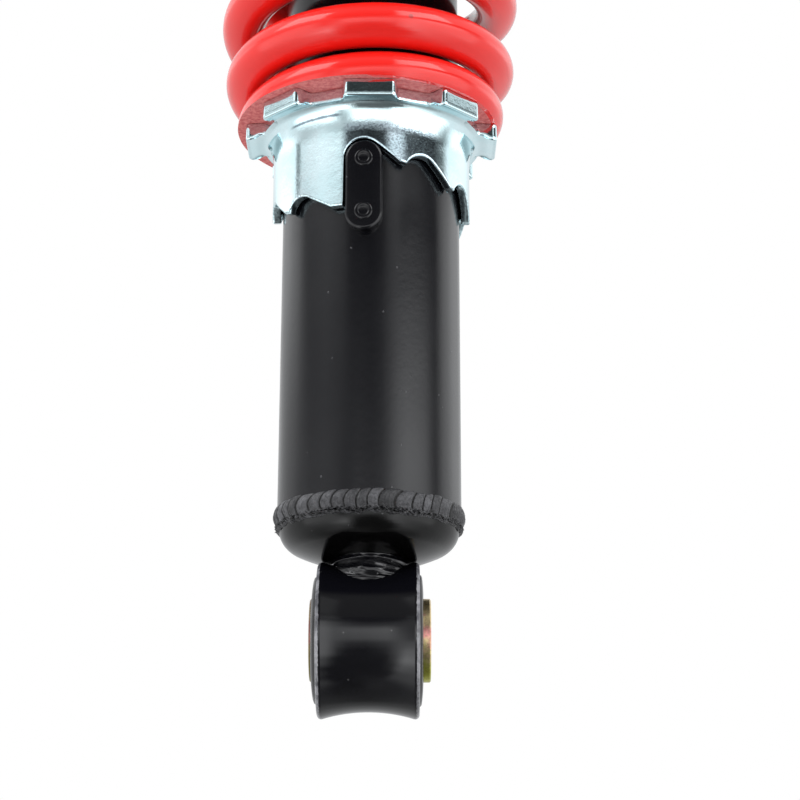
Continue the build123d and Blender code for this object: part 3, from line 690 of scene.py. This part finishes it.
def eye_paint():
    """Gloss black on the turned eye: it stops in a ragged line at the rim, and is dull near the weld."""
    rim_line, chip_size = (0.01176, 0.01190), 0.0008        # metres along the eye's bore from its middle
    stem_foot, stem_head = (0.020, 0.021), (0.308, 0.309)   # heights between which no rim is worn
    # the second pair of heights ends the band near the weld that is painted a paler black, as painted sheen
    weld_line, sheen_end = (0.0012, 0.0032), (0.0074, 0.0092)
    material, tree, shader = finish("eye enamel", Specular_IOR_Level=0.0, Coat_Roughness=0.12)
    skin = place_group(tree, paint_skin, peel_size=420.0, peel_depth=0.06, speck_share=0.2)
    smudge = place_group(tree, handling_marks, mark_size=70.0)["Smudge"]
    place = object_place(tree)
    way = add(tree, "SeparateXYZ", {0: place}).outputs
    chips = times(tree, noise(tree, place, 900.0, 5.0, 0.75), chip_size)
    rim = spread(tree, maths(tree, "ADD", maths(tree, "ABSOLUTE", way["X"]), chips), *rim_line)
    rim = mix_number(tree, between(tree, way["Z"], stem_foot, stem_head), rim, 0.0)
    cloud = spread(tree, noise(tree, place, 260.0, 4.0, 0.7), 0.35, 0.65)
    worn = mix_colour(tree, cloud, (0.09, 0.09, 0.10, 1), WORN_STEEL)
    black = mix_colour(tree, skin["Specks"], BLACK, (0.06, 0.06, 0.06, 1))
    weld_side = spread(tree, way["Z"], *weld_line)
    # a band near the weld painted a paler black: a painted dull sheen in place of the gloss
    paler = times(tree, weld_side, fade(tree, way["Z"], *sheen_end))
    black = mix_colour(tree, paler, black, (0.0095, 0.0095, 0.0105, 1))
    join(tree, shader, Base_Color=mix_colour(tree, rim, black, worn), Normal=skin["Normal"],
         Roughness=mix_number(tree, smudge, 0.4, 0.5), Coat_Weight=mix_number(tree, weld_side, 1.0, 0.1))
    return material


def weld_paint():
    """Black enamel over weld metal: greyish mottled plates, with painted shade in the grooves and the toe's
    hollows.
    """
    material, tree, shader = finish("weld enamel", Specular_IOR_Level=0.4)
    grain = place_group(tree, metal_grain, grain_size=1500.0, grain_depth=0.4)
    cloud = spread(tree, noise(tree, object_place(tree), 500.0, 5.0, 0.7), 0.3, 0.7, 0.35, 1.0)
    # the tone mark also brings painted highlights on the tops of the toe's beads
    cloud = times(tree, cloud, mark_of(tree, "tone_and_toe_highlight"))
    plate = mix_colour(tree, cloud, (0.014, 0.014, 0.015, 1), (0.125, 0.125, 0.135, 1))
    plate = mix_colour(tree, times(tree, grain["Hollows"], 0.4), plate, BLACK)
    # painted shade: the marked grooves and toe hollows go nearly black
    groove = spread(tree, mark_of(tree, "groove"), 0.15, 0.7)
    join(tree, shader, Base_Color=mix_colour(tree, groove, plate, (0.001, 0.001, 0.001, 1)),
         Roughness=mix_number(tree, grain["Hollows"], 0.34, 0.55), Normal=grain["Normal"])
    return material


def pool_paint():
    """Black enamel on smooth, once molten metal."""
    material, tree, shader = finish("weld pool enamel", Specular_IOR_Level=0.6)
    skin = place_group(tree, paint_skin, peel_size=500.0, peel_depth=0.12, speck_share=0.4)
    smudge = place_group(tree, handling_marks, mark_size=120.0)["Smudge"]
    join(tree, shader, Base_Color=mix_colour(tree, skin["Specks"], BLACK, (0.16, 0.16, 0.16, 1)),
         Roughness=mix_number(tree, smudge, 0.10, 0.18), Normal=skin["Normal"])
    return material


def spring_paint():
    """Red powder coat with a clear gloss, and the dusty, thinly coated ground faces at its ends."""
    material, tree, shader = finish("red powder coat", Roughness=0.42, Coat_Weight=1.0, Coat_Roughness=0.03,
                                    Specular_IOR_Level=0.15)
    skin = place_group(tree, paint_skin, peel_size=330.0, peel_depth=0.12, speck_size=300.0,
                       speck_share=0.12)
    dust = noise(tree, object_place(tree), 900.0, 5.0, 0.7)
    paler = mix_colour(tree, spread(tree, dust, 0.35, 0.65), (0.60, 0.10, 0.10, 1), (0.80, 0.24, 0.22, 1))
    red = mix_colour(tree, skin["Specks"], (0.92, 0.014, 0.009, 1), (0.5, 0.02, 0.02, 1))
    face = spread(tree, mark_of(tree, "ground"), 0.9, 1.0)
    join(tree, shader, Base_Color=mix_colour(tree, face, red, paler), Normal=skin["Normal"],
         Roughness=mix_number(tree, face, 0.4, 0.55), Coat_Weight=mix_number(tree, face, 1.0, 0.12))
    return material


def zinc_plate():
    """Bright bluish zinc on pressed steel, slightly wavy, with a dark grain in places and dull torn edges.

    A grainy, painted dark reflection lies on a patch of the wall's front; painted shade runs along the bend
    left of it.
    """
    # where the painted dark reflection lies on the wall's front, in metres
    reflection_patch_rise, reflection_patch_fall, reflection_patch_back = (-0.0075, -0.005), (0.015, 0.018), (-0.012, -0.008)
    reflection_patch_depth, reflection_patch_fade = 0.0080, 0.0010        # metres below the ring's top
    # the line of painted shade along the bend, in metres
    bend_shade_depth, bend_shade_width, bend_shade_shake = 0.0061, (0.0004, 0.0008), 0.0006
    bend_shade_rise, bend_shade_fall = (-0.0205, -0.0185), (-0.0085, -0.0065)
    torn_depth, torn_fade = 0.006, 0.003
    material, tree, shader = finish("bright zinc", Metallic=1.0)
    smudge = place_group(tree, handling_marks, mark_size=90.0)["Smudge"]
    place = object_place(tree)
    way = add(tree, "SeparateXYZ", {0: place}).outputs
    grain = noise(tree, place, 1700.0, 5.0, 0.65)
    hollows = fade(tree, grain, 0.38, 0.55)
    z_top = ring_high[2] * MM

    def below(depth, soft):
        """1 on the ring under a depth from its top, in metres, and 0 above it."""
        return fade(tree, way["Z"], z_top - depth - soft, z_top - depth)

    # painted dark reflection: a patch on the wall's front
    front = times(tree, between(tree, way["X"], reflection_patch_rise, reflection_patch_fall), fade(tree, way["Y"], *reflection_patch_back))
    front = times(tree, front, below(reflection_patch_depth, reflection_patch_fade))
    # painted shade: a thin line along the bend, left of the front patch
    bend_shade = maths(tree, "ABSOLUTE", maths(tree, "SUBTRACT", way["Z"], z_top - bend_shade_depth))
    bend_shade = maths(tree, "ADD", bend_shade, times(tree, noise(tree, place, 900.0), bend_shade_shake))
    bend_shade = fade(tree, bend_shade, *bend_shade_width)
    bend_shade = times(tree, bend_shade, between(tree, way["X"], bend_shade_rise, bend_shade_fall))
    torn = times(tree, mark_of(tree, "cut"), mix_number(tree, below(torn_depth, torn_fade), 0.15, 1.0))
    plate = mix_colour(tree, smudge, (0.71, 0.93, 0.97, 1), (0.79, 0.96, 1.0, 1))
    # the front patch is painted grey-blue and the bend's line nearly black: painted reflection and painted
    # shade
    plate = mix_colour(tree, times(tree, front, 0.35), plate, (0.42, 0.50, 0.62, 1))
    plate = mix_colour(tree, times(tree, bend_shade, 0.85), plate, (0.10, 0.13, 0.17, 1))
    # grain hollows darken on the torn edges, and most on the front patch as part of its painted reflection
    worn = times(tree, hollows, mix_number(tree, maths(tree, "MAXIMUM", torn, front), 0.03, 0.55))
    waves = times(tree, noise(tree, place, 330.0, 2.0), 0.10)
    height = maths(tree, "ADD", times(tree, grain, 0.05), waves)
    bump = add(tree, "Bump", {"Height": height, "Strength": 0.6, "Distance": 0.0005})
    join(tree, shader, Base_Color=mix_colour(tree, worn, plate, (0.16, 0.18, 0.23, 1)),
         Roughness=mix_number(tree, smudge, 0.04, 0.08), Normal=bump.outputs[0])
    return material


def yellow_zinc():
    """Yellow zinc: its thin film turns from olive through gold and pink to brown up the sleeve."""
    dark_end_edge = (-0.0128, -0.0120)        # along the sleeve, in metres: its left end is a darker brown
    stops = ((0.10, (0.55, 0.56, 0.10, 1)), (0.26, (0.66, 0.62, 0.20, 1)), (0.38, (0.80, 0.66, 0.34, 1)),
             (0.52, (0.84, 0.34, 0.34, 1)), (0.62, (0.84, 0.66, 0.38, 1)), (0.76, (0.86, 0.70, 0.36, 1)),
             (0.90, (0.60, 0.42, 0.22, 1)))
    material, tree, shader = finish("yellow zinc", Metallic=1.0)
    place = object_place(tree)
    cloud = noise(tree, place, 160.0, 4.0, 0.65)
    up_sleeve = times(tree, mark_of(tree, "height"), 0.42)
    ramp = add(tree, "ValToRGB", {0: maths(tree, "ADD", up_sleeve, cloud)})
    elements = ramp.color_ramp.elements
    while len(elements) < len(stops):
        elements.new(0.5)
    for element, (position, colour) in zip(elements, stops):
        element.position, element.color = position, colour
    grain = place_group(tree, metal_grain, grain_size=1500.0, grain_depth=0.10)
    film = mix_colour(tree, times(tree, grain["Hollows"], 0.35), ramp.outputs[0], (0.20, 0.13, 0.06, 1))
    darker_end = spread(tree, add(tree, "SeparateXYZ", {0: place}).outputs["X"], *dark_end_edge, 0.7, 0.0)
    join(tree, shader, Base_Color=mix_colour(tree, darker_end, film, (0.10, 0.06, 0.05, 1)),
         Roughness=mix_number(tree, cloud, 0.26, 0.42), Normal=grain["Normal"])
    return material


def plain_finish(name, colour, roughness, metallic=0.0, grain_depth=0.1, grain_size=1200.0):
    """One-colour finish with a light grain, darker smudges and a roughness that wanders a little."""
    material, tree, shader = finish(name, Metallic=metallic)
    grain = place_group(tree, metal_grain, grain_size=grain_size, grain_depth=grain_depth)
    smudge = place_group(tree, handling_marks, mark_size=80.0)["Smudge"]
    dark = tuple(0.8 * c for c in colour) + (1,)
    join(tree, shader, Base_Color=mix_colour(tree, smudge, (*colour, 1), dark), Normal=grain["Normal"],
         Roughness=mix_number(tree, smudge, roughness * 0.85, roughness * 1.15))
    return material


finishes = {
    "black_paint": black_paint(),
    "red_coat": spring_paint(),
    "zinc_plate": zinc_plate(),
    "yellow_zinc": yellow_zinc(),
    "bush_rubber": plain_finish("bush rubber", (0.014, 0.014, 0.015), 0.3, grain_depth=0.1),
    "chrome_rod": plain_finish("hard chrome", (0.78, 0.79, 0.81), 0.08, 1.0, grain_depth=0.01),
    "plain_steel": plain_finish("plain steel", (0.55, 0.56, 0.58), 0.3, 1.0),
    "piston_metal": plain_finish("sintered iron", (0.32, 0.32, 0.33), 0.5, 1.0, grain_depth=0.4),
    "guide_alloy": plain_finish("cast alloy", (0.70, 0.70, 0.72), 0.35, 1.0, grain_depth=0.2),
    "bearing_bronze": plain_finish("bearing bronze", (0.65, 0.46, 0.25), 0.3, 1.0),
    "band_plastic": plain_finish("piston band", (0.10, 0.08, 0.07), 0.5),
    "seal_rubber": plain_finish("seal rubber", (0.02, 0.02, 0.02), 0.55, grain_depth=0.15),
    "foam_stop": plain_finish("foam stop", (0.60, 0.50, 0.24), 0.8, grain_depth=0.9, grain_size=2500.0),
}
slot_of = {part["node"]: part["material_slot"] for part in frame["record"]["subparts"]}
for node_name, solid in frame["nodes"].items():
    solid.data.materials.clear()
    solid.data.materials.append(finishes[slot_of[node_name]])
eye_black, weld_black, pool_black = eye_paint(), weld_paint(), pool_paint()
# the cap's enamel is a darker copy of the black enamel: painted shade on the dome's underside
shaded_cap_black = black_paint("shaded cap enamel", 0.30, (0.0018, 0.0018, 0.0018, 1))
for node_name, paint in (("lower_eye", eye_black), ("upper_eye", eye_black), ("bottom_cap", shaded_cap_black)):
    frame["nodes"][node_name].data.materials[0] = paint


# ---- pieces that stand for solids ----
def dress(piece, node, body, slot_name, material=None):
    """Gives a new piece its finish and lets it stand for the solid of the same part."""
    piece.data.materials.append(material or finishes[slot_name])
    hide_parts(node)
    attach(piece, body)


spring = coil_spring()
dress(spring, "coil_spring", "spring_carriage", "red_coat")
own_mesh(spring)
dress(preload_ring(), "preload_ring", "cam_ring", "zinc_plate")
dress(cap_weld(), "cap_weld_bead", "damper_body", "black_paint", weld_black)
dress(neck_weld(), "lower_eye_weld", "damper_body", "black_paint", pool_black)
dress(plug_welds(), "lug_plug_welds", "damper_body", "black_paint")
dress(lower_rubber(), "lower_bush_rubber", "damper_body", "bush_rubber")
dress(lower_sleeve(), "lower_bush_sleeve", "lower_sleeve", "yellow_zinc")


# ---- floor, lamps and camera ----
def floor():
    """White floor under the lower eye, which fades out round the object.

    It is seen only from above, so that the low camera looks past it.
    """
    size, gap, fade_from, fade_to = 3.0, 0.0004, 0.06, 0.30
    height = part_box("lower_eye")[0][2] - gap
    mesh = bpy.data.meshes.new("floor")
    mesh.from_pydata([(-size, -size, height), (size, -size, height), (size, size, height),
                      (-size, size, height)], [], [(0, 1, 2, 3)])
    sheet = bpy.data.objects.new("floor", mesh)
    bpy.context.scene.collection.objects.link(sheet)
    material, tree, shader = finish("pale floor", Base_Color=(0.80, 0.80, 0.80, 1), Roughness=0.7)
    clear = add(tree, "BsdfTransparent")
    hidden = maths(tree, "MAXIMUM", add(tree, "NewGeometry").outputs["Backfacing"],
                   add(tree, "LightPath").outputs["Is Glossy Ray"])
    far = add(tree, "VectorMath", {0: object_place(tree)}, operation="LENGTH").outputs["Value"]
    hidden = maths(tree, "MAXIMUM", hidden, spread(tree, far, fade_from, fade_to))
    both = add(tree, "MixShader", {0: hidden, 1: shader.outputs[0], 2: clear.outputs[0]})
    tree.links.new(both.outputs[0], tree.nodes["Material Output"].inputs["Surface"])
    mesh.materials.append(material)


def lamp(name, turn, rise, distance, width, height, brightness):
    """Soft rectangular lamp at an angle round the axis and above the level, facing the object's middle.

    Shiny surfaces don't see it: what they mirror is the studio's walls.
    """
    target = Vector((0, 0, 0.1))
    turn, rise = np.radians((turn, rise))
    away = Vector((np.sin(turn) * np.cos(rise), -np.cos(turn) * np.cos(rise), np.sin(rise)))
    light = bpy.data.lights.new(name, "AREA")
    light.shape, light.size, light.size_y = "RECTANGLE", width, height
    light.energy = brightness * np.pi * width * height
    holder = bpy.data.objects.new(name, light)
    holder.location = target + away * distance
    holder.rotation_euler = (-away).to_track_quat("-Z", "Y").to_euler()
    holder.visible_glossy = False
    bpy.context.scene.collection.objects.link(holder)


# Brightness of the studio as shiny surfaces see it. Each row is a height above the level, in degrees, and
# a line of angle round the axis and brightness. Between the rows it changes smoothly.
STUDIO = (
    (-75, ((-180, 0.2), (-50, 0.3), (40, 0.12), (180, 0.2))),
    (-60, ((-180, 0.2), (-110, 0.4), (-60, 1.0), (-38, 0.9), (-28, 0.15), (50, 0.10), (65, 0.9),
           (110, 0.4), (180, 0.2))),
    (-48, ((-180, 0.4), (-90, 0.6), (-60, 1.0), (-34, 1.8), (-25, 0.4), (-15, 0.12), (40, 0.12),
           (54, 1.5), (90, 0.8), (180, 0.4))),
    (-36, ((-180, 0.6), (-90, 0.8), (-60, 1.2), (-32, 3.2), (-24, 0.9), (-16, 0.15), (26, 0.12),
           (33, 0.8), (42, 2.2), (60, 1.4), (90, 0.8), (180, 0.6))),
    (-25, ((-180, 0.7), (-96, 0.9), (-75, 1.4), (-45, 1.8), (-30, 2.5), (-23, 1.2), (-15, 0.35),
           (0, 0.12), (14, 0.15), (21, 0.4), (27, 1.6), (33, 2.5), (50, 1.8), (78, 1.2), (98, 0.9),
           (180, 0.7))),
    (-15, ((-180, 0.75), (-94, 0.9), (-86, 1.8), (-45, 1.8), (-30, 1.5), (-23, 1.3), (-15, 0.7),
           (0, 0.35), (13, 0.4), (21, 0.9), (27, 2.0), (33, 2.6), (50, 1.9), (86, 1.8), (94, 0.9),
           (180, 0.75))),
    (-4, ((-180, 0.75), (-94, 0.9), (-86, 1.8), (-45, 1.8), (-32, 0.6), (-23, 1.2), (-15, 1.7),
          (0, 1.4), (13, 1.3), (21, 1.4), (27, 2.1), (33, 2.6), (50, 1.9), (86, 1.8), (94, 0.9),
          (180, 0.75))),
    (7, ((-180, 0.75), (-94, 0.9), (-86, 1.6), (-45, 1.6), (-32, 0.5), (-23, 0.9), (-15, 2.0),
         (0, 1.7), (13, 1.6), (21, 1.5), (27, 2.2), (33, 2.6), (50, 2.2), (86, 1.6), (94, 0.9),
         (180, 0.75))),
    (16, ((-180, 0.8), (-130, 0.9), (-108, 1.0), (-80, 0.58), (-57, 0.72), (-36, 0.63), (-16, 0.5),
          (4, 0.42), (15, 0.6), (24, 1.2), (38, 2.7), (48, 3.2), (62, 2.9), (74, 2.2), (84, 0.9),
          (91, 0.4), (98, 0.9), (106, 1.5), (128, 1.6), (150, 0.85), (180, 0.8))),
    (22, ((-180, 0.8), (-150, 0.85), (-128, 1.6), (-108, 1.8), (-96, 1.0), (-86, 0.55), (-57, 0.9),
          (-36, 0.6), (-22, 0.14), (0, 0.07), (12, 0.2), (24, 0.38), (44, 0.4), (66, 0.35),
          (92, 0.22), (100, 0.9), (108, 1.5), (128, 1.6), (150, 0.85), (180, 0.8))),
    (24, ((-180, 0.85), (-160, 0.9), (-140, 1.2), (-98.5, 1.05), (-97, 0.01), (-91, 0.01),
          (-89.5, 0.86), (-60, 1.0), (-34, 0.98), (-27, 0.10), (0, 0.03), (16, 0.05), (24, 1.1),
          (34, 1.2), (43, 0.08), (80, 0.04), (92, 0.06), (100, 1.05), (140, 1.2), (160, 0.9),
          (180, 0.85))),
    (26.5, ((-180, 0.85), (-160, 0.9), (-140, 1.2), (-98.5, 1.05), (-89.5, 0.95), (-60, 1.0),
            (-34, 0.98), (-27, 0.10), (0, 0.03), (16, 0.05), (24, 1.1), (34, 1.2), (43, 0.08),
            (80, 0.04), (92, 0.8), (100, 1.05), (140, 1.2), (160, 0.9), (180, 0.85))),
    (31, ((-180, 0.9), (-84, 0.9), (-77, 3.6), (-40, 4.0), (-34, 0.3), (-20, 0.10), (20, 0.10),
          (26, 3.0), (36, 4.0), (66, 4.0), (72, 0.9), (180, 0.9))),
    (52, ((-180, 0.8), (-82, 0.8), (-76, 3.6), (-40, 4.0), (-33, 0.4), (-10, 0.25), (22, 0.25),
          (27, 3.0), (66, 4.0), (72, 0.8), (180, 0.8))),
    (56, ((-180, 0.35), (180, 0.35))),
    (84, ((-180, 0.12), (180, 0.12))),
)
BRIGHTEST = max(level for _, line in STUDIO for _, level in line)


def wall_curve(tree, share, table):
    """Brightness round the axis from a line of angle and level."""
    curve = add(tree, "FloatCurve", {1: share})
    points = curve.mapping.curves[0].points
    while len(points) < len(table):
        points.new(0.5, 0.5)
    for point, (angle, level) in zip(points, table):
        point.location = ((angle + 180) / 360, level / BRIGHTEST)
        point.handle_type = "VECTOR"
    curve.mapping.update()
    return times(tree, curve.outputs[0], BRIGHTEST)


def backdrop():
    """White world. Shiny surfaces see the studio's walls, and dull ones soft light from above."""
    daylight = (0.97, 0.985, 1.0, 1)
    world = bpy.data.worlds.new("studio")
    world.use_nodes = True
    tree = world.node_tree
    path = add(tree, "LightPath").outputs
    glossy = maths(tree, "MAXIMUM", path["Is Glossy Ray"], path["Is Transmission Ray"])
    way = add(tree, "SeparateXYZ", {0: add(tree, "TexCoord").outputs["Generated"]}).outputs
    turn = maths(tree, "ARCTAN2", way["X"], times(tree, way["Y"], -1.0))
    share = maths(tree, "ADD", maths(tree, "DIVIDE", turn, TURN), 0.5)
    rise = maths(tree, "DEGREES", maths(tree, "ARCSINE", way["Z"]))
    level = wall_curve(tree, share, STUDIO[0][1])
    for (below, _), (height, table) in zip(STUDIO, STUDIO[1:]):
        level = mix_number(tree, spread(tree, rise, below, height), level, wall_curve(tree, share, table))
    sheet = add(tree, "Background", {"Color": (1, 1, 1, 1), "Strength": 1.0})
    studio = add(tree, "Background", {"Color": daylight, "Strength": level})
    soft = spread(tree, way["Z"], -0.8, 0.5, 0.6, 1.0)
    air = add(tree, "Background", {"Color": daylight, "Strength": soft})
    inside = add(tree, "MixShader", {0: glossy, 1: air.outputs[0], 2: studio.outputs[0]})
    both = add(tree, "MixShader", {0: path["Is Camera Ray"], 1: inside.outputs[0], 2: sheet.outputs[0]})
    tree.links.new(both.outputs[0], tree.nodes["World Output"].inputs["Surface"])
    bpy.context.scene.world = world


def camera():
    """Camera below the object's middle and a little to one side, looking up through an 85 mm lens."""
    distance, lean, roll = 0.470, np.radians(17.0), np.radians(0.08)
    aside, sight_height = 0.00744, 0.06026
    lens = bpy.data.cameras.new("camera")
    lens.lens, lens.sensor_width = 85.0, 36.0
    lens.clip_start, lens.clip_end = 0.01, 20.0
    holder = bpy.data.objects.new("camera", lens)
    holder.location = (aside, -distance * np.cos(lean), sight_height - distance * np.sin(lean))
    holder.rotation_euler = Euler((np.pi / 2 + lean, 0, 0))
    holder.rotation_euler.rotate_axis("Z", roll)
    bpy.context.scene.collection.objects.link(holder)
    bpy.context.scene.camera = holder


floor()
backdrop()
camera()
lamp("left softbox", -62, 44, 0.9, 0.75, 0.36, 4.0)
lamp("right softbox", 50, 50, 0.9, 0.60, 0.34, 4.0)
lamp("rear fill", 175, 35, 1.0, 0.80, 0.60, 1.2)

bpy.context.scene.view_settings.view_transform = "Standard"
